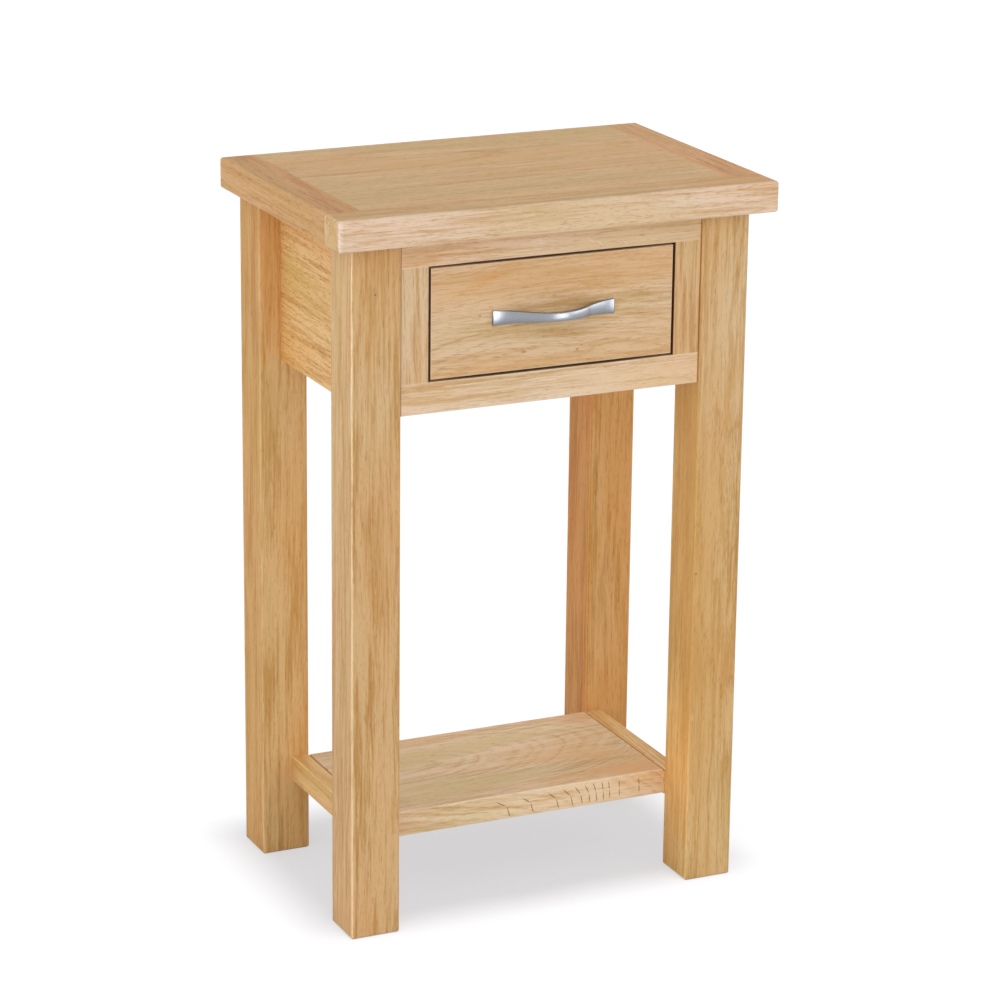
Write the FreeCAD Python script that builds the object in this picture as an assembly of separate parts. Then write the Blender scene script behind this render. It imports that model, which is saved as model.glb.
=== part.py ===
"""Oak telephone table: four square legs, a boarded top, one dovetailed drawer and a low shelf.

Sizes are in millimetres. X runs from left to right, Y from the front to the back and Z up.
The origin is on the floor, under the middle of the top. Pieces that come in mirrored pairs
are made for the right-hand side and mirrored for the left.
"""
import FreeCAD, Part
import math
import os
from FreeCAD import Vector

# Driving sizes of the whole table
table_width = 450.0
table_depth = 300.0
table_height = 710.0

# The top: a panel between two cleats, with a strip across the front
top_thickness = 30.0
side_overhang = 20.0
front_overhang = 20.0
cleat_width = 35.0
strip_depth = 35.0
top_edge_radius = 3.0
top_tongue_thickness = 10.0
top_tongue_length = 12.0
strip_tongue_stop = 8.0
top_seam_vee = 0.5

# The legs
leg_size = 50.0
leg_edge_radius = 2.5
foot_chamfer = 1.5

# The face frame round the drawer, set back a little from the front of the legs
frame_setback = 2.0
frame_thickness = 20.0
top_rail_height = 25.0
opening_height = 110.0
bottom_rail_height = 30.0
stile_width = 28.0
frame_tenon_thickness = 10.0
frame_tenon_length = 20.0
frame_tenon_shoulder = 4.0
dowel_diameter = 8.0
dowel_length = 30.0
dowel_chamfer = 1.2

# The aprons at the sides and the back
apron_thickness = 18.0
apron_setback = 23.0
apron_tenon_thickness = 10.0
apron_tenon_length = 12.0
apron_tenon_shoulder = 8.0
board_edge_radius = 1.0

# The shelf between two side rails
shelf_height = 101.0
shelf_thickness = 26.0
shelf_front_setback = 2.0
shelf_rail_thickness = 18.0
shelf_tongue_thickness = 8.0
shelf_tongue_length = 8.0
shelf_tenon_thickness = 8.0
shelf_tenon_length = 20.0
shelf_tenon_shoulder = 4.0
shelf_edge_radius = 1.5
shelf_seam_vee = 1.5

# The drawer
drawer_gap = 2.0
drawer_front_thickness = 20.0
drawer_front_edge_radius = 1.2
drawer_side_thickness = 12.0
drawer_back_thickness = 12.0
drawer_side_drop = 1.5
drawer_back_drop = 4.0
drawer_back_clearance = 8.0
drawer_bottom_thickness = 6.0
drawer_bottom_height = 6.0
drawer_groove_depth = 5.0
dovetail_lap = 5.0
dovetail_slope = 1.0 / 7.0
dovetail_pin_width = 7.0
front_dovetails = 3
back_dovetails = 3

# What carries, guides and stops the drawer
runner_thickness = 25.0
runner_ledge = 17.5
guide_height = 25.0
kicker_thickness = 25.0
stop_height = 30.0

# The bow handle
handle_length = 126.0
handle_projection = 21.5
handle_end_thickness = 2.5
handle_strap_thickness = 5.2
handle_end_height = 15.0
handle_middle_height = 8.4
handle_edge_chamfer = 0.9
handle_hole_inset = 15.0
handle_thread_depth = 2.6

# Wood screws: shank diameter, head diameter and length
runner_screw = (4.0, 8.0, 48.0)
top_screw = (4.0, 8.0, 42.0)
bottom_screw = (3.0, 6.0, 20.0)
screw_tip_diameter = 0.8
screw_inset = 45.0
bottom_screw_inset = 55.0

# The machine screws that hold the handle
handle_screw_diameter = 4.0
handle_screw_head_diameter = 8.0
handle_screw_head_thickness = 2.6
handle_screw_crown = 0.9
cross_width = 1.1
cross_span = 4.4
cross_depth = 1.4

# Flats round screws and dowels, where a thread or fluting would be
small_round_sides = 12
crown_rings = 3

# Clearances
joint_end_play = 0.5
screw_play = 0.1
dowel_play = 0.1
slide_clearance = 0.3
guide_clearance = 0.5
stop_clearance = 0.3

# Faces that the pieces share
top_under = table_height - top_thickness
leg_out = table_width / 2 - side_overhang
leg_in = leg_out - leg_size
front_leg_front = front_overhang - table_depth / 2
front_leg_back = front_leg_front + leg_size
back_leg_back = table_depth / 2
back_leg_front = back_leg_back - leg_size

frame_front = front_leg_front + frame_setback
frame_back = frame_front + frame_thickness
opening_high = top_under - top_rail_height
opening_low = opening_high - opening_height
apron_low = opening_low - bottom_rail_height
opening_side = leg_in - stile_width

side_apron_out = leg_out - apron_setback
side_apron_in = side_apron_out - apron_thickness
back_apron_out = back_leg_back - apron_setback
back_apron_in = back_apron_out - apron_thickness

drawer_side_out = opening_side - drawer_gap
drawer_side_in = drawer_side_out - drawer_side_thickness
drawer_front_low = opening_low + drawer_gap
drawer_front_high = opening_high - drawer_gap
drawer_front_back = frame_front + drawer_front_thickness
drawer_back_out = back_apron_in - drawer_back_clearance
drawer_back_in = drawer_back_out - drawer_back_thickness
drawer_side_low = opening_low + slide_clearance
drawer_side_high = drawer_front_high - drawer_side_drop
drawer_back_high = drawer_side_high - drawer_back_drop
drawer_bottom_low = drawer_side_low + drawer_bottom_height
drawer_bottom_high = drawer_bottom_low + drawer_bottom_thickness

guide_face = drawer_side_out + guide_clearance
runner_edge = guide_face - runner_ledge


def block(x0, x1, y0, y1, z0, z1):
    """A board, given by the places of its six faces."""
    return Part.makeBox(x1 - x0, y1 - y0, z1 - z0, Vector(x0, y0, z0))


def centred_block(half_width, y0, y1, z0, z1):
    """A board that reaches as far to the left as to the right."""
    return block(-half_width, half_width, y0, y1, z0, z1)


def mirrored(shape):
    """The same piece for the left-hand side."""
    return shape.mirror(Vector(0, 0, 0), Vector(1, 0, 0))


def with_mirror(shapes):
    """Both hands of every shape in a list."""
    return shapes + [mirrored(shape) for shape in shapes]


def runs_along(edge, axis):
    """True for a straight edge that is parallel to the axis."""
    box = edge.BoundBox
    spans = {"x": box.XLength, "y": box.YLength, "z": box.ZLength}
    length = spans.pop(axis)
    return length > 0.01 and max(spans.values()) < 0.01


def eased(shape, radius, axis, chosen):
    """Round the edges along one axis whose middle passes the test."""
    edges = [edge for edge in shape.Edges if runs_along(edge, axis) and chosen(edge.CenterOfMass)]
    return shape.makeFillet(radius, edges)


def near(a, b):
    """True for two places that are the same."""
    return abs(a - b) < 0.01


def placed(shape, point, direction):
    """Turn a shape that is made along +Z into a direction, with its start at a point."""
    turn = FreeCAD.Rotation(Vector(0, 0, 1), Vector(*direction))
    moved = shape.copy()
    moved.Placement = FreeCAD.Placement(Vector(*point), turn)
    return moved


def vee_along_x(half_length, y, z, depth):
    """A V groove that runs along X, cut down into a face at height z."""
    corners = [(y - depth, z), (y + depth, z), (y, z - depth)]
    points = [Vector(-half_length, a, b) for a, b in corners]
    return Part.Face(Part.makePolygon(points + points[:1])).extrude(Vector(2 * half_length, 0, 0))


def vee_along_y(x, y0, y1, z, depth):
    """A V groove that runs along Y, cut down into a face at height z."""
    corners = [(x - depth, z), (x + depth, z), (x, z - depth)]
    points = [Vector(a, y0, b) for a, b in corners]
    return Part.Face(Part.makePolygon(points + points[:1])).extrude(Vector(0, y1 - y0, 0))


def ring(radius, height):
    """A closed ring of flats round Z."""
    step = 2 * math.pi / small_round_sides
    points = [
        Vector(radius * math.cos(step * side), radius * math.sin(step * side), height)
        for side in range(small_round_sides)
    ]
    return Part.makePolygon(points + points[:1])


def turned(outline):
    """A small round piece along +Z, through rings that are given as radius and height."""
    return Part.makeLoft([ring(radius, height) for radius, height in outline], True, True)


def screw_solid(sizes, play):
    """A countersunk wood screw along +Z with its head's face at z = 0, grown by some play."""
    shank_radius = sizes[0] / 2 + play
    head_radius = sizes[1] / 2 + play
    length = sizes[2] + play
    return turned([
        (head_radius, 0),
        (shank_radius, head_radius - shank_radius),
        (shank_radius, length - 2 * shank_radius),
        (screw_tip_diameter / 2 + play, length),
    ])


def drilled(shape, holes):
    """A piece with all of its holes cut."""
    for hole in holes:
        shape = shape.cut(hole)
    return shape


# Tenons, each made once, and cut a little deeper as the mortise that takes it
def frame_tenons(play):
    """The right-hand tenons of the two rails in the face frame."""
    middle = (frame_front + frame_back) / 2
    y0 = middle - frame_tenon_thickness / 2
    y1 = middle + frame_tenon_thickness / 2
    reach = leg_in + frame_tenon_length + play
    spans = [(opening_high, top_under), (apron_low, opening_low)]
    return [
        block(leg_in, reach, y0, y1, low + frame_tenon_shoulder, high - frame_tenon_shoulder)
        for low, high in spans
    ]


def side_apron_tenons(play):
    """The tenons at the front and the back of the right-hand apron."""
    middle = (side_apron_in + side_apron_out) / 2
    x0 = middle - apron_tenon_thickness / 2
    x1 = middle + apron_tenon_thickness / 2
    z0 = apron_low + apron_tenon_shoulder
    z1 = top_under - apron_tenon_shoulder
    length = apron_tenon_length + play
    front = block(x0, x1, front_leg_back - length, front_leg_back, z0, z1)
    back = block(x0, x1, back_leg_front, back_leg_front + length, z0, z1)
    return [front, back]


def back_apron_tenon(play):
    """The right-hand tenon of the apron at the back."""
    middle = (back_apron_in + back_apron_out) / 2
    y0 = middle - apron_tenon_thickness / 2
    y1 = middle + apron_tenon_thickness / 2
    z0 = apron_low + apron_tenon_shoulder
    z1 = top_under - apron_tenon_shoulder
    return block(leg_in, leg_in + apron_tenon_length + play, y0, y1, z0, z1)


def shelf_rail_tenons(play):
    """The tenons at the front and the back of the right-hand shelf rail."""
    middle = leg_in + shelf_rail_thickness / 2
    x0 = middle - shelf_tenon_thickness / 2
    x1 = middle + shelf_tenon_thickness / 2
    z0 = shelf_height - shelf_thickness + shelf_tenon_shoulder
    z1 = shelf_height - shelf_tenon_shoulder
    length = shelf_tenon_length + play
    front = block(x0, x1, front_leg_back - length, front_leg_back, z0, z1)
    back = block(x0, x1, back_leg_front, back_leg_front + length, z0, z1)
    return [front, back]


def joined(shape, extras):
    """A board with its tenons, as one solid."""
    for extra in extras:
        shape = shape.fuse(extra)
    return shape.removeSplitter()


# Screws and dowels where they sit
def top_screw_places():
    """Two screws through each kicker, up into the top."""
    x = (guide_face + side_apron_in) / 2
    ends = [frame_back + screw_inset, back_apron_in - screw_inset]
    head = top_under - kicker_thickness
    return [((side * x, y, head), (0, 0, 1)) for side in (-1, 1) for y in ends]


def runner_screw_places():
    """Two screws through each guide, sideways into the apron."""
    z = opening_low + guide_height / 2
    ends = [frame_back + screw_inset, back_apron_in - screw_inset]
    return [((side * guide_face, y, z), (side, 0, 0)) for side in (-1, 1) for y in ends]


def bottom_screw_places():
    """Two screws up through the drawer's bottom into its back."""
    x = drawer_side_in - bottom_screw_inset
    y = (drawer_back_in + drawer_back_out) / 2
    return [((side * x, y, drawer_bottom_low), (0, 0, 1)) for side in (-1, 1)]


def screws_at(places, sizes):
    """One group of identical screws."""
    screw = screw_solid(sizes, 0.0)
    return Part.makeCompound([placed(screw, point, way) for point, way in places])


def holes_at(places, sizes):
    """The holes for one group of identical screws."""
    hole = screw_solid(sizes, screw_play)
    return [placed(hole, point, way) for point, way in places]


def dowels(play):
    """The dowels at both ends of each stile, or their holes."""
    radius = dowel_diameter / 2 + play
    end_radius = radius - dowel_chamfer
    length = dowel_length + 2 * play
    dowel = turned([
        (end_radius, 0),
        (radius, dowel_chamfer),
        (radius, length - dowel_chamfer),
        (end_radius, length),
    ])
    x = (opening_side + leg_in) / 2
    y = (frame_front + frame_back) / 2
    return [
        placed(dowel, (side * x, y, seam - length / 2), (0, 0, 1))
        for side in (-1, 1)
        for seam in (opening_low, opening_high)
    ]


# The top
def top_boards():
    """The panel, the cleats and the front strip, with tongues and grooves between them.

    All four are trimmed by one rounded slab, so their outsides meet at the seams.
    """
    half = table_width / 2
    front = -table_depth / 2
    back = table_depth / 2
    seam_x = half - cleat_width
    seam_y = front + strip_depth
    tongue_low = top_under + (top_thickness - top_tongue_thickness) / 2
    tongue_high = tongue_low + top_tongue_thickness
    groove_length = top_tongue_length + joint_end_play
    strip_tongue_end = half - strip_tongue_stop

    slab = centred_block(half, front, back, top_under, table_height)
    slab = slab.makeFillet(top_edge_radius, slab.Edges)
    vees = with_mirror([vee_along_y(seam_x, seam_y, back, table_height, top_seam_vee)])
    vees.append(vee_along_x(half, seam_y, table_height, top_seam_vee))
    holes = holes_at(top_screw_places(), top_screw)

    panel = centred_block(seam_x, seam_y, back, top_under, table_height)
    panel = joined(panel, [
        centred_block(seam_x + top_tongue_length, seam_y, back, tongue_low, tongue_high),
        centred_block(seam_x, seam_y - top_tongue_length, seam_y, tongue_low, tongue_high),
    ])

    cleat = block(seam_x, half, seam_y, back, top_under, table_height)
    cleat = cleat.cut(block(seam_x, seam_x + groove_length, seam_y, back, tongue_low, tongue_high))
    cleat = joined(cleat, [
        block(seam_x + groove_length, strip_tongue_end, seam_y - top_tongue_length, seam_y,
              tongue_low, tongue_high),
    ])

    strip = centred_block(half, front, seam_y, top_under, table_height)
    strip = strip.cut(centred_block(strip_tongue_end, seam_y - groove_length, seam_y,
                                    tongue_low, tongue_high))

    boards = {
        "top_panel": drilled(panel, vees + holes),
        "top_cleat_right": drilled(cleat, vees),
        "top_cleat_left": drilled(mirrored(cleat), vees),
        "top_front_strip": drilled(strip, vees),
    }
    return {name: board.common(slab) for name, board in boards.items()}


# The legs
def right_legs():
    """The two legs on the right, with their mortises."""
    legs = {}
    for name, y0, y1 in (
        ("leg_front", front_leg_front, front_leg_back),
        ("leg_back", back_leg_front, back_leg_back),
    ):
        leg = block(leg_in, leg_out, y0, y1, 0, top_under)
        leg = eased(leg, leg_edge_radius, "z", lambda middle: True)
        foot = [edge for edge in leg.Edges if near(edge.BoundBox.ZMax, 0)]
        leg = leg.makeChamfer(foot_chamfer, foot)
        mortises = side_apron_tenons(joint_end_play) + shelf_rail_tenons(joint_end_play)
        if name == "leg_front":
            mortises += frame_tenons(joint_end_play)
        else:
            mortises.append(back_apron_tenon(joint_end_play))
        legs[name] = drilled(leg, mortises)
    return legs


# The face frame
def frame_rail(low, high, tenon):
    """A rail between the front legs, tenoned into both."""
    rail = centred_block(leg_in, frame_front, frame_back, low, high)
    if near(low, apron_low):
        rail = eased(rail, board_edge_radius, "x", lambda middle: near(middle.z, low))
    return drilled(joined(rail, with_mirror([tenon])), dowels(dowel_play))


def frame_stile():
    """The upright between the drawer and the right-hand leg."""
    stile = block(opening_side, leg_in, frame_front, frame_back, opening_low, opening_high)
    return drilled(stile, dowels(dowel_play))


# The aprons
def side_apron():
    """The right-hand apron, tenoned into both legs."""
    apron = block(side_apron_in, side_apron_out, front_leg_back, back_leg_front, apron_low, top_under)
    apron = eased(apron, board_edge_radius, "y", lambda middle: near(middle.z, apron_low))
    apron = joined(apron, side_apron_tenons(0.0))
    return drilled(apron, holes_at(runner_screw_places(), runner_screw))


def back_apron():
    """The apron between the two back legs."""
    apron = centred_block(leg_in, back_apron_in, back_apron_out, apron_low, top_under)
    apron = eased(apron, board_edge_radius, "x", lambda middle: near(middle.z, apron_low))
    return joined(apron, with_mirror([back_apron_tenon(0.0)]))


# The shelf
def shelf_tongue(play):
    """The tongue along the shelf's right-hand edge, or the groove that takes it."""
    low = shelf_height - shelf_thickness / 2 - shelf_tongue_thickness / 2
    high = low + shelf_tongue_thickness
    front = front_leg_back + shelf_front_setback
    return block(leg_in, leg_in + shelf_tongue_length + play, front, back_leg_front, low, high)


def shelf_vees():
    """The V grooves between the shelf and its rails."""
    vee = vee_along_y(leg_in, front_leg_back, back_leg_front, shelf_height, shelf_seam_vee)
    return with_mirror([vee])


def shelf_rail():
    """The rail under the right-hand side, between the legs."""
    low = shelf_height - shelf_thickness
    out = leg_in + shelf_rail_thickness
    rail = block(leg_in, out, front_leg_back, back_leg_front, low, shelf_height)
    rail = eased(rail, shelf_edge_radius, "y", lambda middle: near(middle.x, out))
    rail = joined(rail, shelf_rail_tenons(0.0))
    return drilled(rail, [shelf_tongue(joint_end_play)] + shelf_vees())


def shelf_panel():
    """The shelf, which stops short of the fronts of its rails."""
    low = shelf_height - shelf_thickness
    front = front_leg_back + shelf_front_setback
    panel = centred_block(leg_in, front, back_leg_front, low, shelf_height)
    panel = eased(panel, shelf_edge_radius, "x", lambda middle: True)
    panel = joined(panel, with_mirror([shelf_tongue(0.0)]))
    return drilled(panel, shelf_vees())


# The drawer box
def dovetails(z0, z1, count, root_y, tip_y):
    """The tails across the end of a right-hand drawer side, wider at the tip than at the root."""
    pitch = (z1 - z0) / count
    tip = pitch - dovetail_pin_width
    root = tip - 2 * abs(tip_y - root_y) * dovetail_slope
    tails = []
    for index in range(count):
        middle = z0 + pitch * (index + 0.5)
        points = [
            Vector(drawer_side_in, root_y, middle - root / 2),
            Vector(drawer_side_in, root_y, middle + root / 2),
            Vector(drawer_side_in, tip_y, middle + tip / 2),
            Vector(drawer_side_in, tip_y, middle - tip / 2),
        ]
        face = Part.Face(Part.makePolygon(points + points[:1]))
        tails.append(face.extrude(Vector(drawer_side_thickness, 0, 0)))
    return tails


def front_tails():
    """The tails that the lapped drawer front hides."""
    tip = frame_front + dovetail_lap
    return dovetails(drawer_front_low, drawer_side_high, front_dovetails, drawer_front_back, tip)


def back_tails():
    """The tails that go right through the drawer's back."""
    return dovetails(drawer_bottom_high, drawer_back_high, back_dovetails,
                     drawer_back_in, drawer_back_out)


def bottom_groove():
    """The grooves in the front and the sides that hold the drawer's bottom."""
    return centred_block(drawer_side_in + drawer_groove_depth,
                         drawer_front_back - drawer_groove_depth, drawer_back_out,
                         drawer_bottom_low, drawer_bottom_high)


def handle_screw_places():
    """One machine screw behind each end of the handle."""
    x = handle_length / 2 - handle_hole_inset
    z = (drawer_front_low + drawer_front_high) / 2
    return [((side * x, drawer_front_back, z), (0, -1, 0)) for side in (-1, 1)]


def handle_screw_shank(play):
    """The shank of a handle screw along +Z, from the inside of the drawer front, or its hole."""
    radius = handle_screw_diameter / 2 + play
    return turned([(radius, 0), (radius, drawer_front_thickness + handle_thread_depth + play)])


def handle_screw():
    """A machine screw whose domed head lies against the inside of the drawer front."""
    head_radius = handle_screw_head_diameter / 2
    top = -handle_screw_head_thickness
    sphere_radius = (head_radius ** 2 + handle_screw_crown ** 2) / (2 * handle_screw_crown)
    dome = []
    for index in range(crown_rings):
        radius = head_radius * (index + 1) / crown_rings
        dome.append((radius, top + sphere_radius - math.sqrt(sphere_radius ** 2 - radius ** 2)))
    head = turned(dome + [(head_radius, 0)])
    span = cross_span / 2
    arm = cross_width / 2
    recess = block(-span, span, -arm, arm, top, top + cross_depth)
    recess = recess.fuse(block(-arm, arm, -span, span, top, top + cross_depth))
    return head.cut(recess).fuse(handle_screw_shank(0.0))


def drawer_front():
    """The drawer's front, with sockets for the tails, the bottom's groove and the handle's holes."""
    front = centred_block(drawer_side_out, frame_front, drawer_front_back,
                          drawer_front_low, drawer_front_high)
    rim = [edge for edge in front.Edges if near(edge.BoundBox.YMax, frame_front)]
    front = front.makeFillet(drawer_front_edge_radius, rim)
    hole = handle_screw_shank(screw_play)
    holes = [placed(hole, point, way) for point, way in handle_screw_places()]
    return drilled(front, with_mirror(front_tails()) + [bottom_groove()] + holes)


def drawer_back():
    """The drawer's back, whose pins fill the spaces between the sides' tails."""
    back = centred_block(drawer_side_out, drawer_back_in, drawer_back_out,
                         drawer_bottom_high, drawer_back_high)
    holes = holes_at(bottom_screw_places(), bottom_screw)
    return drilled(back, with_mirror(back_tails()) + holes)


def drawer_side(back):
    """The right-hand side, tailed into the front and round the pins of the back."""
    side = block(drawer_side_in, drawer_side_out, drawer_front_back, drawer_back_out,
                 drawer_side_low, drawer_side_high)
    side = eased(side, board_edge_radius, "y", lambda middle: near(middle.z, drawer_side_high))
    return joined(side, front_tails()).cut(back).cut(bottom_groove())


def drawer_bottom():
    """The thin bottom, slid in from behind under the drawer's back."""
    half = drawer_side_in + drawer_groove_depth - joint_end_play
    front = drawer_front_back - drawer_groove_depth + joint_end_play
    bottom = centred_block(half, front, drawer_back_out, drawer_bottom_low, drawer_bottom_high)
    return drilled(bottom, holes_at(bottom_screw_places(), bottom_screw))


# The drawer's runners
def notched(board):
    """A board beside the apron, cut away where the two legs stand."""
    front = block(leg_in, leg_out, front_leg_front, front_leg_back, 0, top_under)
    back = block(leg_in, leg_out, back_leg_front, back_leg_back, 0, top_under)
    return board.cut(front).cut(back)


def runner():
    """The right-hand runner: a ledge under the drawer's side and a guide beside it."""
    ledge = block(runner_edge, side_apron_in, frame_back, back_apron_in,
                  opening_low - runner_thickness, opening_low)
    guide = block(guide_face, side_apron_in, frame_back, back_apron_in,
                  opening_low, opening_low + guide_height)
    return drilled(notched(joined(ledge, [guide])), holes_at(runner_screw_places(), runner_screw))


def kicker():
    """The right-hand batten over the drawer, which keeps it level and holds the top down."""
    batten = block(runner_edge, side_apron_in, frame_back, back_apron_in,
                   top_under - kicker_thickness, top_under)
    return drilled(notched(batten), holes_at(top_screw_places(), top_screw))


def drawer_stop():
    """The right-hand block on the runner, which the closed drawer meets."""
    return block(runner_edge, guide_face, drawer_back_out + stop_clearance, back_apron_in,
                 opening_low, opening_low + stop_height)


# The handle
def bow(end_y, middle_y, radius_change):
    """A bow in plan from left to right: an arc at each end and a longer one in the middle.

    The three arcs have one radius and meet at a common tangent, halfway along each side.
    A change of radius gives the line beside it, at the same distance all the way.
    """
    half = handle_length / 2
    rise = middle_y - end_y
    radius = (half ** 2 + rise ** 2) / (4 * rise)
    turn = math.atan2(half / 2, radius - rise / 2)
    middle_radius = radius + radius_change
    end_radius = radius - radius_change
    middle_centre = middle_y - radius
    end_centre = end_y + radius

    def on_middle(angle):
        """A point on the middle arc, counted from the middle of the handle."""
        return Vector(middle_radius * math.sin(angle), middle_centre + middle_radius * math.cos(angle), 0)

    def on_end(side, angle):
        """A point on an end arc, counted from the handle's end."""
        return Vector(side * (half - end_radius * math.sin(angle)),
                      end_centre - end_radius * math.cos(angle), 0)

    return [
        Part.Arc(on_end(-1, 0), on_end(-1, turn / 2), on_end(-1, turn)).toShape(),
        Part.Arc(on_middle(-turn), on_middle(0), on_middle(turn)).toShape(),
        Part.Arc(on_end(1, turn), on_end(1, turn / 2), on_end(1, 0)).toShape(),
    ]


def handle():
    """The bow handle: a strap bent to one outline in plan and waisted to another in front view."""
    half = handle_length / 2
    outer = bow(handle_end_thickness, handle_projection, 0.0)
    outer_ends = [Vector(-half, handle_end_thickness, 0), Vector(half, handle_end_thickness, 0)]
    foot = [outer_ends[1], Vector(half, 0, 0), Vector(-half, 0, 0), outer_ends[0]]
    solid_bow = Part.Face(Part.Wire(outer + Part.makePolygon(foot).Edges))

    inner = bow(handle_end_thickness, handle_projection, -handle_strap_thickness)
    inner_start = inner[0].Vertexes[0].Point
    inner_end = inner[2].Vertexes[-1].Point
    below = -handle_projection
    under = [inner_end, Vector(half, below, 0), Vector(-half, below, 0), inner_start]
    under_bow = Part.Face(Part.Wire(inner + Part.makePolygon(under).Edges))

    depth = handle_end_height
    strap = solid_bow.extrude(Vector(0, 0, depth)).cut(under_bow.extrude(Vector(0, 0, depth)))
    strap.translate(Vector(0, 0, -depth / 2))

    end_z = handle_end_height / 2
    middle_z = handle_middle_height / 2
    upper = Part.Arc(Vector(-half, 0, end_z), Vector(0, 0, middle_z), Vector(half, 0, end_z)).toShape()
    lower = Part.Arc(Vector(half, 0, -end_z), Vector(0, 0, -middle_z), Vector(-half, 0, -end_z)).toShape()
    right = Part.makeLine(Vector(half, 0, end_z), Vector(half, 0, -end_z))
    left = Part.makeLine(Vector(-half, 0, -end_z), Vector(-half, 0, end_z))
    waist = Part.Face(Part.Wire([upper, right, lower, left]))
    strap = strap.common(waist.extrude(Vector(0, handle_projection, 0)))

    rim = [edge for edge in strap.Edges if edge.BoundBox.YMin > 0.01]
    strap = strap.makeChamfer(handle_edge_chamfer, rim)
    strap.rotate(Vector(0, 0, 0), Vector(0, 0, 1), 180)
    strap.translate(Vector(0, frame_front, (drawer_front_low + drawer_front_high) / 2))
    hole = handle_screw_shank(screw_play)
    return drilled(strap, [placed(hole, point, way) for point, way in handle_screw_places()])


def whole_table():
    """Every sub-part by name. A name that ends in s is a group of identical pieces."""
    parts = dict(top_boards())
    rail_tenons = frame_tenons(0.0)
    parts["frame_top_rail"] = frame_rail(opening_high, top_under, rail_tenons[0])
    parts["frame_bottom_rail"] = frame_rail(apron_low, opening_low, rail_tenons[1])
    parts["back_apron"] = back_apron()
    parts["shelf_panel"] = shelf_panel()
    parts["drawer_front"] = drawer_front()
    parts["drawer_back"] = drawer_back()
    parts["drawer_bottom"] = drawer_bottom()
    parts["handle"] = handle()

    pairs = right_legs()
    pairs["frame_stile"] = frame_stile()
    pairs["side_apron"] = side_apron()
    pairs["shelf_rail"] = shelf_rail()
    pairs["drawer_side"] = drawer_side(parts["drawer_back"])
    pairs["drawer_runner"] = runner()
    pairs["drawer_kicker"] = kicker()
    for name, piece in pairs.items():
        parts[name + "_right"] = piece
        parts[name + "_left"] = mirrored(piece)

    handle_fixing = handle_screw()
    parts["handle_screws"] = Part.makeCompound(
        [placed(handle_fixing, point, way) for point, way in handle_screw_places()])
    parts["top_screws"] = screws_at(top_screw_places(), top_screw)
    parts["runner_screws"] = screws_at(runner_screw_places(), runner_screw)
    parts["bottom_screws"] = screws_at(bottom_screw_places(), bottom_screw)
    parts["frame_dowels"] = Part.makeCompound(dowels(0.0))
    parts["drawer_stops"] = Part.makeCompound(with_mirror([drawer_stop()]))
    return parts


os.makedirs("parts", exist_ok=True)
for part_name, part_shape in whole_table().items():
    part_shape.exportStep(os.path.join("parts", part_name + ".step"))
    box = part_shape.BoundBox
    print(f"{part_name:20s} solids {len(part_shape.Solids)} valid {part_shape.isValid()} "
          f"volume {part_shape.Volume / 1000:8.1f} cm3 "
          f"x {box.XMin:7.1f} {box.XMax:7.1f} y {box.YMin:7.1f} {box.YMax:7.1f} "
          f"z {box.ZMin:6.1f} {box.ZMax:6.1f}")
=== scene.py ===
# %% [markdown]
# # An oak hall table with one drawer
#
# The real object is a small solid oak table: four square legs, a thick top with breadboard
# ends, a face frame with one drawer, side and back aprons and a low shelf. It was shot in a
# white studio in flat, soft light.
#
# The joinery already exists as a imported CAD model, so nothing wooden is modelled again here.
# This script lights that model, gives every board its own piece of oak, and adds the pieces
# whose beauty is in their small forms: the bow handle and the screws.
#
# The first step loads the model. Every CAD node arrives as a mesh object at the origin, in
# metres, with X to the right, Y to the back and Z up.

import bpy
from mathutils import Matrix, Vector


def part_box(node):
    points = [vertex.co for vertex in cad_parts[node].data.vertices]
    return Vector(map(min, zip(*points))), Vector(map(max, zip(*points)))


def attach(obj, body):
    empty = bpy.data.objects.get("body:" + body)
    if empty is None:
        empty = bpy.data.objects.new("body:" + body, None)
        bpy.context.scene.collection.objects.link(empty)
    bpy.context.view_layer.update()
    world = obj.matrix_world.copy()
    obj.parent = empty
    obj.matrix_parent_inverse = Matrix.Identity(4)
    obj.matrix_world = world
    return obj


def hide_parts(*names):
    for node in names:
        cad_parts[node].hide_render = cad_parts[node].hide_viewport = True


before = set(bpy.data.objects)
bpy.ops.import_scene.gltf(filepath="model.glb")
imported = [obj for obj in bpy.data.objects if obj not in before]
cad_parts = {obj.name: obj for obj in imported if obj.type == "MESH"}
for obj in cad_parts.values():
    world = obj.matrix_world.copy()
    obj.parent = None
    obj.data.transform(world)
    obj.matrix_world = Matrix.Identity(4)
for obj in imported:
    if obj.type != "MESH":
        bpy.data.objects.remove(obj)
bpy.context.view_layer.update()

# %% Load Blender's own tools
import math
import bpy
from mathutils import Matrix, Vector

scene = bpy.context.scene
scene.view_settings.view_transform = "Standard"
print("view transform:", scene.view_settings.view_transform)

# %% [markdown]
# ## The camera
#
# The picture is nearly free of perspective, so it was taken from far away through a long lens.
# A camera can be matched by eye, but a table gives something better: dozens of square corners.
# The values below came from fitting those corners, so lens, place and turn agree with each
# other. Yaw turns the view to the right, pitch tips it down, and roll leans it a little.

# %% Camera
lens_mm = 133.234
sensor_mm = 36.0
sight_limit = 50.0
camera_place = Vector((-1.465578, -3.137794, 1.458762))
yaw = math.radians(25.1486)
pitch = math.radians(17.3117)
roll = math.radians(0.65139)

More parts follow.
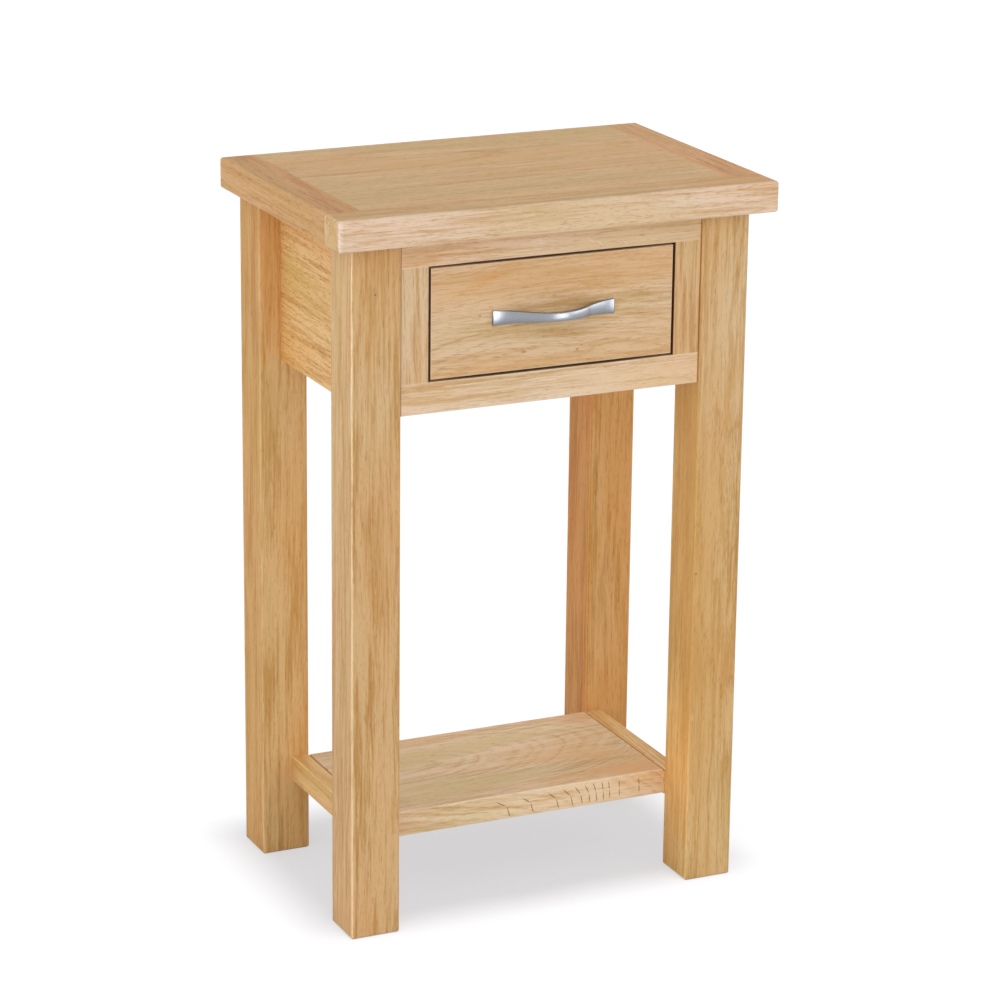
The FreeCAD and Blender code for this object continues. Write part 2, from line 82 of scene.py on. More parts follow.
ahead = Vector((math.sin(yaw) * math.cos(pitch), math.cos(yaw) * math.cos(pitch), -math.sin(pitch)))
level_right = Vector((math.cos(yaw), -math.sin(yaw), 0.0))
level_up = level_right.cross(ahead)
right = math.cos(roll) * level_right + math.sin(roll) * level_up
up = math.cos(roll) * level_up - math.sin(roll) * level_right
camera_turn = Matrix((right, up, -ahead)).transposed().to_4x4()
camera_data = bpy.data.cameras.new("camera")
camera_data.lens = lens_mm
camera_data.sensor_width = sensor_mm
camera_data.clip_end = sight_limit
camera = bpy.data.objects.new("camera", camera_data)
camera.matrix_world = Matrix.Translation(camera_place) @ camera_turn
scene.collection.objects.link(camera)
scene.camera = camera
print("camera stands", round(camera_place.length, 2), "m from the table's foot")

# %% [markdown]
# ## Small helpers for nodes
#
# Materials and Geometry Nodes are graphs. Writing a graph in code is easier to read when one
# call adds a node, sets it up and connects it, and short calls do the plain arithmetic on
# numbers, places and colours. Each link knows its node tree, so the short calls find it there.

# %% Node helpers
def fill(socket, value):
    """Give an input a link or a value, or leave it alone for None."""
    if isinstance(value, bpy.types.NodeSocket):
        socket.id_data.links.new(value, socket)
    elif value is not None:
        socket.default_value = value


def fill_named(sockets, values):
    """Fill inputs by their titles, in which an underscore stands for a blank."""
    for title, value in values.items():
        fill(sockets[title.replace("_", " ")], value)


def add(tree, kind, *values, **named):
    """Add a node. Plain values fill its inputs in order, a name with a capital letter fills the
    input of that title, and a name in small letters is a setting of the node."""
    node = tree.nodes.new(kind)
    for setting, value in named.items():
        if setting.islower():
            setattr(node, setting, value)
    for socket, value in zip(node.inputs, values):
        fill(socket, value)
    fill_named(node.inputs, {title: value for title, value in named.items() if not title.islower()})
    return node


def made(tree, kind, *values, **named):
    """The first output of a new node."""
    return add(tree, kind, *values, **named).outputs[0]


def tree_of(values):
    """The node tree that the first link among some values belongs to."""
    return next(value.id_data for value in values if isinstance(value, bpy.types.NodeSocket))


def calc(operation, *values):
    """One step of arithmetic on numbers."""
    return made(tree_of(values), "ShaderNodeMath", *values, operation=operation)


def plus(first, second):
    """A sum of two numbers."""
    return calc("ADD", first, second)


def minus(first, second):
    """One number less another."""
    return calc("SUBTRACT", first, second)


def over(first, second):
    """One number divided by another."""
    return calc("DIVIDE", first, second)


def times(*values):
    """Several numbers multiplied."""
    product = values[0]
    for value in values[1:]:
        product = calc("MULTIPLY", product, value)
    return product


def squared(value):
    """A number times itself."""
    return calc("POWER", value, 2.0)


def ramp(value, slope, start):
    """A number that starts somewhere and grows with another."""
    return calc("MULTIPLY_ADD", value, slope, start)


def move(operation, *values):
    """One step of arithmetic on places, directions or colours."""
    return add(tree_of(values), "ShaderNodeVectorMath", *values,
               operation=operation).outputs["Vector"]


def length(way):
    """How long a direction is."""
    return add(way.id_data, "ShaderNodeVectorMath", way, operation="LENGTH").outputs["Value"]


def parts_of(place):
    """The x, y and z of a place."""
    return add(place.id_data, "ShaderNodeSeparateXYZ", place).outputs


def from_parts(*parts):
    """A place from its x, y and z."""
    return made(tree_of(parts), "ShaderNodeCombineXYZ", *parts)


def blend(factor, first, second):
    """A mix of two colours. The Mix node's inputs for other kinds of values come before them."""
    other_kinds = [None] * 5
    return add(factor.id_data, "ShaderNodeMix", factor, *other_kinds, first, second,
               data_type="RGBA").outputs[2]


def ease(value, low, high):
    """0 below the low value, 1 above the high one, and a soft step between."""
    return made(value.id_data, "ShaderNodeMapRange", value, low, high, 0.0, 1.0,
                interpolation_type="SMOOTHSTEP")


def new_group(name, kind, inputs, outputs):
    """An empty node group with named inputs and outputs."""
    tree = bpy.data.node_groups.new(name, kind)
    for title, socket_type, value in inputs:
        socket = tree.interface.new_socket(title, in_out="INPUT", socket_type=socket_type)
        if value is not None:
            socket.default_value = value
    for title, socket_type in outputs:
        tree.interface.new_socket(title, in_out="OUTPUT", socket_type=socket_type)
    given = tree.nodes.new("NodeGroupInput").outputs
    result = tree.nodes.new("NodeGroupOutput").inputs
    return tree, given, result


def new_material(name):
    """A material with an empty node tree, and that tree."""
    material = bpy.data.materials.new(name)
    material.use_nodes = True
    material.node_tree.nodes.clear()
    return material, material.node_tree


number = "NodeSocketFloat"
vector = "NodeSocketVector"
colour = "NodeSocketColor"
print("node helpers are ready")

# %% [markdown]
# ## Floor and light
#
# The table stands on a white sweep, and all that the picture shows of the floor is one soft
# grey shadow under the footprint. A brighter lamp would turn the floor white but burn out the
# oak. So the light stays at a plain level, and only what the camera sees of the floor and the
# sky is lifted to white. Glossy and transmission rays see the same white, so the nickel does
# reflect it. All other rays meet a plain pale floor.
#
# A studio's soft light comes from everywhere, a little more from the camera's left and less
# from straight above, so the fronts stay brighter than the top. A sky whose brightness changes
# gently with direction gives just that, and it leaves no hard shadow. One wide sun from nearly
# above makes the shadow under the table. It is linked to the floor alone, so the table's top
# stays as evenly lit as its sides. Two softboxes on the right are linked to the handle alone,
# as flags would do in a studio: metal only looks like metal when it has a bright shape to
# reflect, and the same lamps would wash out the pale oak.

# %% World light
sky_level = 1.01
sky_lean = 0.30
zenith_dim = 0.65
bright_side = Vector((-0.65, -0.68, 0.10)).normalized()
sky_colour = (1.0, 0.99, 0.975, 1.0)
white = (1.0, 1.0, 1.0, 1.0)


def seen_directly(tree):
    """1 for camera, glossy and transmission rays, and 0 for the light that reaches the object."""
    path = tree.nodes.new("ShaderNodeLightPath").outputs
    direct = calc("MAXIMUM", path["Is Camera Ray"], path["Is Glossy Ray"])
    return calc("MAXIMUM", direct, path["Is Transmission Ray"])


world = bpy.data.worlds.new("white_studio")
world.use_nodes = True
scene.world = world
sky = world.node_tree
sky.nodes.clear()
direction = sky.nodes.new("ShaderNodeTexCoord").outputs["Generated"]
towards_bright = add(sky, "ShaderNodeVectorMath", direction, bright_side,
                     operation="DOT_PRODUCT").outputs["Value"]
level = ramp(towards_bright, sky_lean, sky_level)
level = minus(level, times(squared(parts_of(direction)[2]), zenith_dim))
soft_light = made(sky, "ShaderNodeBackground", sky_colour, level)
white_view = made(sky, "ShaderNodeBackground", white, 1.0)
both = made(sky, "ShaderNodeMixShader", seen_directly(sky), soft_light, white_view)
add(sky, "ShaderNodeOutputWorld", both)
print("sky level beside the table from", sky_level - sky_lean, "to", sky_level + sky_lean)

# %% Floor
floor_half = 12.0
floor_colour = (0.42, 0.42, 0.415, 1.0)
shadow_colour = (0.30, 0.303, 0.3075, 1.0)
lift_colour = (0.985, 0.985, 1.02, 1.0)
lift_strength = 0.55

floor_mesh = bpy.data.meshes.new("floor")
floor_mesh.from_pydata([(x * floor_half, y * floor_half, 0)
                        for x, y in ((-1, -1), (1, -1), (1, 1), (-1, 1))], [], [(0, 1, 2, 3)])
floor = bpy.data.objects.new("floor", floor_mesh)
scene.collection.objects.link(floor)
floor_paint, tree = new_material("white_sweep")
plain = made(tree, "ShaderNodeBsdfDiffuse", floor_colour)
shadowed = made(tree, "ShaderNodeBsdfDiffuse", shadow_colour)
lifted = made(tree, "ShaderNodeEmission", lift_colour, lift_strength)
seen = made(tree, "ShaderNodeAddShader", shadowed, lifted)
sweep = made(tree, "ShaderNodeMixShader", seen_directly(tree), plain, seen)
add(tree, "ShaderNodeOutputMaterial", sweep)
floor_mesh.materials.append(floor_paint)
print("floor is", 2 * floor_half, "m square")

# %% Lamps
overhead_level = 3.0
overhead_width = math.radians(5.5)
overhead_place = Vector((-0.005, -0.10, 2.0))
handle_place = Vector((0.0, -0.14, 0.60))
softboxes = {
    "front_softbox": dict(place=Vector((0.56, -1.44, 0.46)), width=0.60, height=0.84, level=4.2),
    "side_softbox": dict(place=Vector((1.71, -0.70, 0.80)), width=1.90, height=0.80, level=9.0),
}


def aimed(place, target):
    """A turn that makes a lamp at one place shine at another."""
    return (target - place).to_track_quat("-Z", "Y").to_matrix().to_4x4()


def light_only(lamp, receiver):
    """Let a lamp shine on one object alone."""
    chosen = bpy.data.collections.new("lit_by_" + lamp.name)
    chosen.objects.link(receiver)
    lamp.light_linking.receiver_collection = chosen


sun_data = bpy.data.lights.new("overhead", "SUN")
sun_data.energy = overhead_level
sun_data.angle = overhead_width
sun = bpy.data.objects.new("overhead", sun_data)
sun.matrix_world = aimed(overhead_place, Vector())
scene.collection.objects.link(sun)
light_only(sun, floor)

softbox_lamps = []
for name, box in softboxes.items():
    data = bpy.data.lights.new(name, "AREA")
    data.shape = "RECTANGLE"
    data.size = box["width"]
    data.size_y = box["height"]
    data.energy = box["level"]
    lamp = bpy.data.objects.new(name, data)
    lamp.matrix_world = Matrix.Translation(box["place"]) @ aimed(box["place"], handle_place)
    lamp.visible_camera = False
    scene.collection.objects.link(lamp)
    softbox_lamps.append(lamp)
print("lamps:", sun.name, "and", len(softbox_lamps), "softboxes")

# %% [markdown]
# ## Oak from the inside out
#
# A flat wood picture repeats, and it can't be right on the end of a board and on its face at
# once. Here each board is cut from a log instead: the pattern fills space, and the board only
# shows where it was sawn. Along the grain is the log's Z axis, and the pith is the line where
# X and Y are zero. Growth rings are then simply the distance from the pith.
#
# Real rings wander, have different widths and close towards the pith along a trunk. A slow
# noise bends the place first, a taper turns tubes into long cones, and that alone draws the
# arched figure of a flat sawn board.

# %% Growth rings
def soft_noise(place, across, along, seed, detail=1.0, harsh=0.5):
    """Noise that is stretched along the grain: how fine it is across and along, per metre."""
    stretched = move("MULTIPLY", place, (across, across, along))
    return add(place.id_data, "ShaderNodeTexNoise", Vector=move("ADD", stretched, seed), Scale=1.0,
               Detail=detail, Roughness=harsh).outputs


def drift(place, across, along, seed, reach):
    """A sideways drift from noise, as likely to one side as to the other."""
    noise = soft_noise(place, across, along, seed)["Color"]
    return move("SCALE", move("SUBTRACT", noise, (0.5, 0.5, 0.5)), None, None, reach)


slow_share = 2.6
quick_share = 0.40
year_play = 2.4
rings, given, result = new_group("growth_rings", "ShaderNodeTree", [
    ("Place", vector, None), ("Seed", vector, None), ("Ring width", number, 0.003),
    ("Wander", number, 0.004), ("Taper", number, 0.02),
], [("Early", number), ("Late", number), ("Bent place", vector)])

slow = drift(given["Place"], 8.0, 2.0, given["Seed"], times(given["Wander"], slow_share))
quick = drift(given["Place"], 42.0, 7.0, given["Seed"], times(given["Wander"], quick_share))
bent = move("ADD", move("ADD", given["Place"], slow), quick)
x, y, z = parts_of(bent)
cone = from_parts(x, y, times(z, given["Taper"]))
count = over(length(cone), given["Ring width"])
seed_number = parts_of(given["Seed"])[0]
good_years = made(rings, "ShaderNodeTexNoise", None, plus(count, seed_number), 0.31, 1.0,
                  noise_dimensions="1D")
count = ramp(good_years, year_play, count)
within = calc("FRACT", count)
year = plus(calc("FLOOR", count), seed_number)
chance = add(rings, "ShaderNodeTexWhiteNoise", None, year, noise_dimensions="1D").outputs["Value"]
spring = times(minus(1.0, ease(within, 0.02, 0.42)), ramp(chance, 0.75, 0.25))
autumn = times(ease(within, 0.45, 1.0), minus(1.1, times(chance, 0.8)))
fill_named(result, dict(Early=spring, Late=autumn, Bent_place=bent))
print("growth_rings has", len(rings.nodes), "nodes")

# %% [markdown]
# ## Pores, fibres and rays
#
# Oak is a ring porous wood. Its spring wood has vessels wide enough to see: on a face they are
# short dark dashes, and on an end they are dots. Noise that is stretched a dozen times along
# the grain and then cut off sharply gives both. Between them run fine fibres, lighter and
# darker, and the rays, thin plates that run from the pith outwards and show as short flecks.
# A ray has a constant angle round the pith, so its pattern is read in polar coordinates.

# %% Pores, fibres and rays
grain, given, result = new_group("oak_grain", "ShaderNodeTree", [
    ("Place", vector, None), ("Seed", vector, None), ("Early", number, 0.0),
], [(title, number) for title in ("Pores", "Fibres", "Bands", "Rays", "Patches")])

vessel = soft_noise(given["Place"], 1500.0, 100.0, given["Seed"])[0]
pore = ease(minus(vessel, ramp(given["Early"], -0.13, 0.62)), 0.0, 0.06)
fibre = soft_noise(given["Place"], 460.0, 16.0, given["Seed"], 3.0, 0.72)[0]
band = soft_noise(given["Place"], 105.0, 6.0, given["Seed"], 4.0, 0.62)[0]
patch = soft_noise(given["Place"], 15.0, 3.2, given["Seed"])[0]

x, y, z = parts_of(given["Place"])
angle = calc("ARCTAN2", y, x)
outward = length(move("MULTIPLY", given["Place"], (1.0, 1.0, 0.0)))
polar = from_parts(times(angle, 62.0), times(outward, 38.0), times(z, 70.0))
fleck = made(grain, "ShaderNodeTexNoise", Vector=move("ADD", polar, given["Seed"]), Scale=1.0,
             Detail=0.5)
ray = ease(fleck, 0.64, 0.72)
fill_named(result, dict(Pores=pore, Fibres=fibre, Bands=band, Rays=ray, Patches=patch))
print("oak_grain has", len(grain.nodes), "nodes")

# %% [markdown]
# ## Painted highlights on the edges
#
# Every arris of the table catches a pale line where its rounding meets the light. That line is a
# painted highlight, mixed into the colour along each edge. A point is near an edge when it is
# close to two faces of its board at once. With the board's box known from the model, the middle
# one of its three distances to the faces tells exactly that, so the mask needs no baked picture.

# %% Arris mask
arris, given, result = new_group("arris", "ShaderNodeTree", [
    ("Place", vector, None), ("Middle", vector, None), ("Half size", vector, None),
    ("Width", number, 0.002),
], [("Edge", number)])
inside = move("ABSOLUTE", move("SUBTRACT", given["Place"], given["Middle"]))
x, y, z = parts_of(move("SUBTRACT", given["Half size"], inside))
lower = calc("MINIMUM", x, y)
upper = calc("MAXIMUM", x, y)
second = calc("MAXIMUM", lower, calc("MINIMUM", upper, z))
uneven = soft_noise(given["Place"], 160.0, 160.0, (3.0, 5.0, 7.0), 2.0)[0]
reach = times(given["Width"], plus(uneven, 0.5))
fill_named(result, dict(Edge=minus(1.0, ease(second, 0.0, reach))))
print("arris has", len(arris.nodes), "nodes")

# %% [markdown]
# ## The oak finish
#
# The patterns meet in one group that works like a joiner's eye: a pale ground, a darker tone
# in the rings, patches that lean to orange or to olive, dark pores and light rays. The same
# patterns drive the roughness and a very low relief, because open pores stay visible under a
# satin lacquer.

# %% Oak finish group
arris_width = 0.0018
spring_tone = 0.55
autumn_tone = 0.40
usual_tone = 0.22
ground_tone = 0.38
band_contrast = 4.6
hair_contrast = 4.2
oak, given, result = new_group("oak_finish", "ShaderNodeTree", [
    ("Object place", vector, None), ("Log place", vector, None), ("Seed", vector, None),
    ("Ground", colour, (0.6, 0.4, 0.22, 1.0)), ("Ring width", number, 0.003),
    ("Wander", number, 0.004), ("Taper", number, 0.02), ("Ring depth", number, 0.5),
    ("Pore depth", number, 0.45), ("Band depth", number, 0.8), ("Ray depth", number, 0.1),
    ("Warmth", number, 0.65), ("Middle", vector, None), ("Half size", vector, None),
    ("Edge glow", number, 0.35),
], [("Colour", colour), ("Roughness", number), ("Relief", number)])

ring = add(oak, "ShaderNodeGroup", given["Log place"], given["Seed"], given["Ring width"],
           given["Wander"], given["Taper"], node_tree=rings).outputs
mask = add(oak, "ShaderNodeGroup", ring["Bent place"], given["Seed"], ring["Early"],
           node_tree=grain).outputs
edge = made(oak, "ShaderNodeGroup", given["Object place"], given["Middle"], given["Half size"],
            arris_width, node_tree=arris)

ground = given["Ground"]
pale_wood = move("MULTIPLY", ground, (1.10, 1.16, 1.26))
dark_wood = move("MULTIPLY", ground, (0.80, 0.66, 0.46))
warm_wood = move("MULTIPLY", ground, (1.03, 0.88, 0.66))
olive_wood = move("MULTIPLY", ground, (0.92, 0.92, 0.70))
edge_highlight_wood = move("MULTIPLY", ground, (1.18, 1.32, 1.60))
years = ramp(ring["Early"], spring_tone, times(ring["Late"], autumn_tone))
tone = ramp(minus(years, usual_tone), given["Ring depth"], ground_tone)
for title, contrast in (("Bands", band_contrast), ("Fibres", hair_contrast)):
    lines = times(minus(mask[title], 0.5), contrast)
    tone = ramp(lines, given["Band depth"], tone)
paint = blend(tone, pale_wood, dark_wood)
warm = times(ease(mask["Patches"], 0.40, 0.68), given["Warmth"])
paint = blend(warm, paint, warm_wood)
cool_patch = minus(1.0, mask["Patches"])
olive = times(ease(cool_patch, 0.46, 0.70), given["Warmth"])
paint = blend(olive, paint, olive_wood)
paint = blend(times(mask["Rays"], given["Ray depth"]), paint, pale_wood)
pore_wood = move("MULTIPLY", paint, (0.66, 0.52, 0.36))
paint = blend(times(mask["Pores"], given["Pore depth"]), paint, pore_wood)
# Painted highlight: the pale line that every arris catches from the light.
paint = blend(times(edge, given["Edge glow"]), paint, edge_highlight_wood)

dullness = ramp(mask["Pores"], 0.14, ramp(mask["Fibres"], 0.16, 0.38))
relief = ramp(mask["Pores"], -0.80, ramp(ring["Early"], -0.30, 0.5))
relief = ramp(mask["Fibres"], 0.35, relief)
fill_named(result, dict(Colour=paint, Roughness=dullness, Relief=relief))
print("oak_finish has", len(oak.nodes), "nodes")

# %% [markdown]
# ## From a log to a board
#
# A board's look is decided by where it was cut. A Mapping node of the texture type moves the
# pith to its place and turns the log along the board, and a small lean makes the rings run out
# of the face. Colours are written as they look on the finished board, from 0 to 255, and
# changed to the linear values that Blender mixes light with.
#
# From here on each board is one entry of a table: its colour, the axis of its grain, how far
# the pith lies from its middle in metres, the lean in radians, and its own way of being cut.
# What the boards of a table share is written once, below them. Each board gets the next
# number as its seed, so no two boards show the same pattern.

# %% Board helpers
lacquer_shine = 0.16
relief_strength = 0.30
relief_height = 0.00035
along = {"X": (0.0, math.pi / 2, 0.0), "Y": (-math.pi / 2, 0.0, 0.0), "Z": (0.0, 0.0, 0.0)}
lean_axes = {"X": (1, 2), "Y": (0, 2), "Z": (0, 1)}
oaks = {}


def linear(red, green, blue):
    """A colour as seen, from 0 to 255, as linear light with full alpha."""
    def one(value):
        share = value / 255
        return share / 12.92 if share <= 0.04045 else ((share + 0.055) / 1.055) ** 2.4
    return (one(red), one(green), one(blue), 1.0)


def tilted(height, strength, distance):
    """The surface's direction where a pattern tilts it as if it were that high."""
    return made(height.id_data, "ShaderNodeBump", Strength=strength, Distance=distance,
                Height=height)


def wear(node_name, material):
    """Put a material on every slot of a CAD node."""
    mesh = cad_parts[node_name].data
    if not mesh.materials:
        mesh.materials.append(material)
    for index in range(len(mesh.materials)):
        mesh.materials[index] = material


def oak_board(node_name, seen, grain_axis, pith, lean, cut):
    """Give a node oak that is cut from its own log."""
    low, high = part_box(node_name)
    middle = (low + high) / 2
    material, tree = new_material("oak_" + node_name)
    place = tree.nodes.new("ShaderNodeTexCoord").outputs["Object"]
    turn = Vector(along[grain_axis])
    for axis, angle in zip(lean_axes[grain_axis], lean):
        turn[axis] += angle
    log = made(tree, "ShaderNodeMapping", place, middle + Vector(pith), turn, vector_type="TEXTURE")
    seed = len(oaks) + 1.0
    finish = add(tree, "ShaderNodeGroup", node_tree=oak, Object_place=place, Log_place=log,
                 Seed=(seed, seed * 1.7 + 3.0, seed * 0.6 + 9.0), Ground=linear(*seen),
                 Middle=middle, Half_size=(high - low) / 2, **cut).outputs
    lacquer = made(tree, "ShaderNodeBsdfPrincipled", Base_Color=finish["Colour"],
                   Roughness=finish["Roughness"], Specular_IOR_Level=lacquer_shine,
                   Normal=tilted(finish["Relief"], relief_strength, relief_height))
    add(tree, "ShaderNodeOutputMaterial", lacquer)
    wear(node_name, material)
    oaks[node_name] = material


def cut_boards(title, boards, **shared):
    """Give a table of boards their oak."""
    for node_name, (seen, grain_axis, pith, lean, own) in boards.items():
        oak_board(node_name, seen, grain_axis, pith, lean, {**shared, **own})
    print(title, "finished:", len(boards))


print("grain can run along", ", ".join(along))

# %% [markdown]
# ## The legs
#
# Each leg is one square of solid oak. Such squares are sawn with the rings running corner to
# corner, so that all four faces show straight, slightly wavy lines. The pith therefore lies
# off one corner, a hand's width away.

# %% Legs
cut_boards("legs", {
    "leg_front_left": ((216, 175, 124), "Z", (0.075, 0.060, 0.0), (0.010, -0.006),
                       dict(Ring_width=0.0046, Wander=0.0065, Ring_depth=0.75, Warmth=0.45,
                            Edge_glow=0.8)),
    "leg_front_right": ((218, 181, 127), "Z", (0.010, 0.090, 0.0), (0.014, 0.008),
                        dict(Ring_width=0.0052, Wander=0.0070, Ring_depth=0.75)),
    "leg_back_left": ((212, 162, 95), "Z", (0.060, -0.070, 0.0), (-0.008, 0.010),
                      dict(Ring_width=0.0048)),
    "leg_back_right": ((221, 173, 114), "Z", (-0.060, 0.070, 0.0), (0.006, -0.012),
                       dict(Ring_width=0.0044)),
}, Wander=0.0060, Taper=0.03, Ring_depth=0.7, Band_depth=1.0, Edge_glow=0.5)

# %% [markdown]
# ## The top
#
# The top is a panel between two darker breadboard ends, with a strip along the front. The
# panel is rift sawn, fine and even. The ends come from redder boards with the grain from front
# to back. A painted sheen on the strip's front makes it the palest face of the table.

# %% Top
cut_boards("top boards", {
    "top_panel": ((224, 185, 134), "X", (0.0, 0.050, -0.200), (0.004, 0.010),
                  dict(Ring_width=0.0030, Wander=0.0070, Taper=0.060, Ring_depth=0.35,
                       Band_depth=0.40, Edge_glow=0.1)),
    "top_cleat_left": ((210, 157, 97), "Y", (0.090, 0.0, -0.045), (0.010, 0.0),
                       dict(Edge_glow=0.45)),
    "top_cleat_right": ((223, 169, 114), "Y", (-0.080, 0.0, -0.060), (-0.008, 0.0), {}),
    "top_front_strip": ((218, 177, 124), "X", (0.0, 0.055, -0.060), (0.008, 0.006),
                        dict(Ring_width=0.0040, Ring_depth=0.65, Band_depth=0.90,
                             Pore_depth=0.55, Edge_glow=0.75)),
}, Ring_width=0.0042, Wander=0.0045, Ring_depth=0.7, Pore_depth=0.60)

# %% [markdown]
# ## The face frame and the aprons
#
# Rails run across, stiles run up, and the grain says so at every joint. The bottom rail is a
# pale, plain board. The side aprons were sawn nearly through the pith's plane, so they show
# rows of short dark dashes.

# %% Face frame and aprons
side_apron = dict(Ring_width=0.0040, Wander=0.0055, Taper=0.03, Ring_depth=0.55,
                  Band_depth=1.1, Pore_depth=1.0)
cut_boards("frame boards", {
    "frame_top_rail": ((234, 203, 172), "X", (0.0, 0.060, 0.050), (0.006, 0.004),
                       dict(Ring_width=0.0034)),
    "frame_bottom_rail": ((235, 208, 177), "X", (0.0, 0.080, -0.020), (0.006, 0.004),
                          dict(Edge_glow=0.35)),
    "frame_stile_left": ((225, 193, 155), "Z", (0.050, 0.060, 0.0), (0.01, 0.01),
                         dict(Wander=0.0045)),
    "frame_stile_right": ((223, 184, 138), "Z", (-0.040, 0.070, 0.0), (0.0, 0.01),
                          dict(Ring_width=0.0038, Ring_depth=0.65)),
    "side_apron_left": ((234, 190, 130), "Y", (0.030, 0.0, 0.110), (0.02, 0.02), side_apron),
    "side_apron_right": ((234, 190, 130), "Y", (-0.030, 0.0, -0.100), (0.02, 0.02), side_apron),
    "back_apron": ((222, 182, 132), "X", (0.0, -0.080, -0.030), (0.02, 0.01),
                   dict(Ring_width=0.0042, Wander=0.0070, Taper=0.04)),
}, Ring_width=0.0036, Wander=0.0050, Ring_depth=0.6, Edge_glow=0.2)

# %% [markdown]
# ## The shelf
#
# The shelf is the liveliest board, a flat sawn panel with arches and a curl towards the back.
# It sits between two rails whose grain runs from front to back.

# %% Shelf
# The shelf panel's ground is written paler than the wood looks: painted light against the shade
# under the top.
cut_boards("shelf boards", {
    "shelf_panel": ((238, 212, 178), "X", (-0.10, 0.012, -0.045), (0.03, 0.04),
                    dict(Ring_width=0.0046, Wander=0.0130, Taper=0.34, Ring_depth=1.2,
                         Band_depth=0.75, Warmth=0.9, Edge_glow=0.8)),
    "shelf_rail_left": ((225, 182, 124), "Y", (0.050, 0.0, -0.060), (0.01, 0.0), {}),
    "shelf_rail_right": ((248, 206, 150), "Y", (-0.050, 0.0, -0.060), (0.01, 0.0), {}),
}, Ring_width=0.0038, Ring_depth=0.6, Edge_glow=0.3)

# %% [markdown]
# ## The drawer
#
# The front is the board that everyone looks at, so the maker chose one with a low arch in it.
# The pith lies well below the board, and a large taper bends its rings into one wide hill. The
# box behind it is paler, planed and oiled. The rails that carry the drawer, its stops and the
# dowels are plain oak that hardly anyone sees, so all of it is cut alike.

# %% Drawer
cut_boards("drawer boards", {
    "drawer_front": ((225, 193, 156), "X", (0.025, 0.034, -0.090), (0.0, 0.03),
                     dict(Ring_width=0.0052, Wander=0.0130, Taper=0.34, Ring_depth=0.75,
                          Band_depth=0.75, Warmth=0.65, Edge_glow=0.55)),
    "drawer_side_left": ((222, 194, 152), "Y", (0.040, 0.0, 0.070), (0.01, 0.01), {}),
    "drawer_side_right": ((222, 194, 152), "Y", (-0.040, 0.0, 0.080), (0.01, 0.01), {}),
    "drawer_back": ((220, 192, 150), "X", (0.0, 0.060, 0.060), (0.01, 0.01), {}),
}, Ring_width=0.0036, Ring_depth=0.45, Warmth=0.25, Edge_glow=0.2)

# %% Hidden rails and dowels
hidden_grain = {"drawer_runner_left": "Y", "drawer_runner_right": "Y", "drawer_kicker_left": "Y",
                "drawer_kicker_right": "Y", "drawer_stops": "X", "frame_dowels": "Z"}
cut_boards("hidden boards", {
    node_name: ((214, 186, 146), grain_axis, (0.05, 0.05, 0.06), (0.01, 0.01), {})
    for node_name, grain_axis in hidden_grain.items()
}, Warmth=0.3, Edge_glow=0.1)

# %% [markdown]
# ## Marks that make it this table, and painted light and shade
#
# A real table has small things that no general rule brings: pin knots, a pale scratch, short
# drying cracks and dark lines where boards meet. Faces that are paler or redder than the rest of
# their board, and pale lines along some edges, are painted light and shade. Each one is an
# egg-shaped region inside the wood, written with its place and its half sizes in millimetres. A
# Mapping node turns it into a ball of radius one, so a length is enough to tell inside from
# outside, and the colour there is multiplied by a tint. A half size called far reaches through
# the whole board, which makes the egg a slab or a rod.
#
# The gap round the drawer is mostly real shadow. Marks add painted shade to the edges of the
# opening and to the first millimetres of the drawer front's rim, so that an open drawer shows
# clean wood.

# %% Mark helper
far = 900.0
marks = []


def add_mark(material, middle, half_size, tint, amount=1.0, soft=0.5, turn=0.0, ragged=0.0):
    """Tint a material inside an egg: millimetres, and degrees of turn about the Y axis."""
    tree = material.node_tree
    place = tree.nodes["Texture Coordinate"].outputs["Object"]
    paint = tree.nodes["Principled BSDF"].inputs["Base Color"]
    ball = made(tree, "ShaderNodeMapping", place, Vector(middle) / 1000,
                (0.0, math.radians(turn), 0.0), Vector(half_size) / 1000,
                vector_type="TEXTURE")
    away = length(ball)
    if ragged:
        torn = minus(soft_noise(place, 450.0, 450.0, middle, 2.0)[0], 0.5)
        away = plus(away, times(torn, ragged * 2.0))
    share = minus(1.0, ease(away, 1.0 - soft, 1.0))
    before = paint.links[0].from_socket
    after = move("MULTIPLY", before, tint)
    tree.links.new(blend(times(share, amount), before, after), paint)
    marks.append(material.name)


boxes = {node_name: [corner * 1000 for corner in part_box(node_name)] for node_name in oaks}
rim_low, rim_high = boxes["drawer_front"]
front_y = rim_low.y
leg_inside = {"left": boxes["leg_front_left"][1].x, "right": boxes["leg_front_right"][0].x}
print("drawer front from", [round(value, 2) for value in (*rim_low, *rim_high)], "mm")

# %% Painted shade round the drawer, and the seams beside it
painted_gap_shade = (0.20, 0.13, 0.08)
brown_seam = (0.42, 0.25, 0.16)
red_seam = (0.50, 0.25, 0.15)
gap_soft = 0.4
front = oaks["drawer_front"]
for side, gap_x, rim_x, rim_depth, seam_width, seam_tint in (
        ("left", boxes["frame_stile_left"][1].x, rim_low.x, 3.0, 1.0, brown_seam),
        ("right", boxes["frame_stile_right"][0].x, rim_high.x, 1.2, 1.7, red_seam)):
    stile = oaks["frame_stile_" + side]
    # Painted shade on the stile's face beside the gap and on the rim of the drawer front.
    add_mark(stile, (gap_x, 0, 600), (0.45, far, far), painted_gap_shade, soft=gap_soft)
    add_mark(front, (rim_x, front_y, 600), (0.35, rim_depth, far), painted_gap_shade, soft=gap_soft)
    for board in (stile, oaks["frame_top_rail"], oaks["frame_bottom_rail"]):
        add_mark(board, (leg_inside[side], 0, 600), (seam_width, far, far), seam_tint, 0.9)
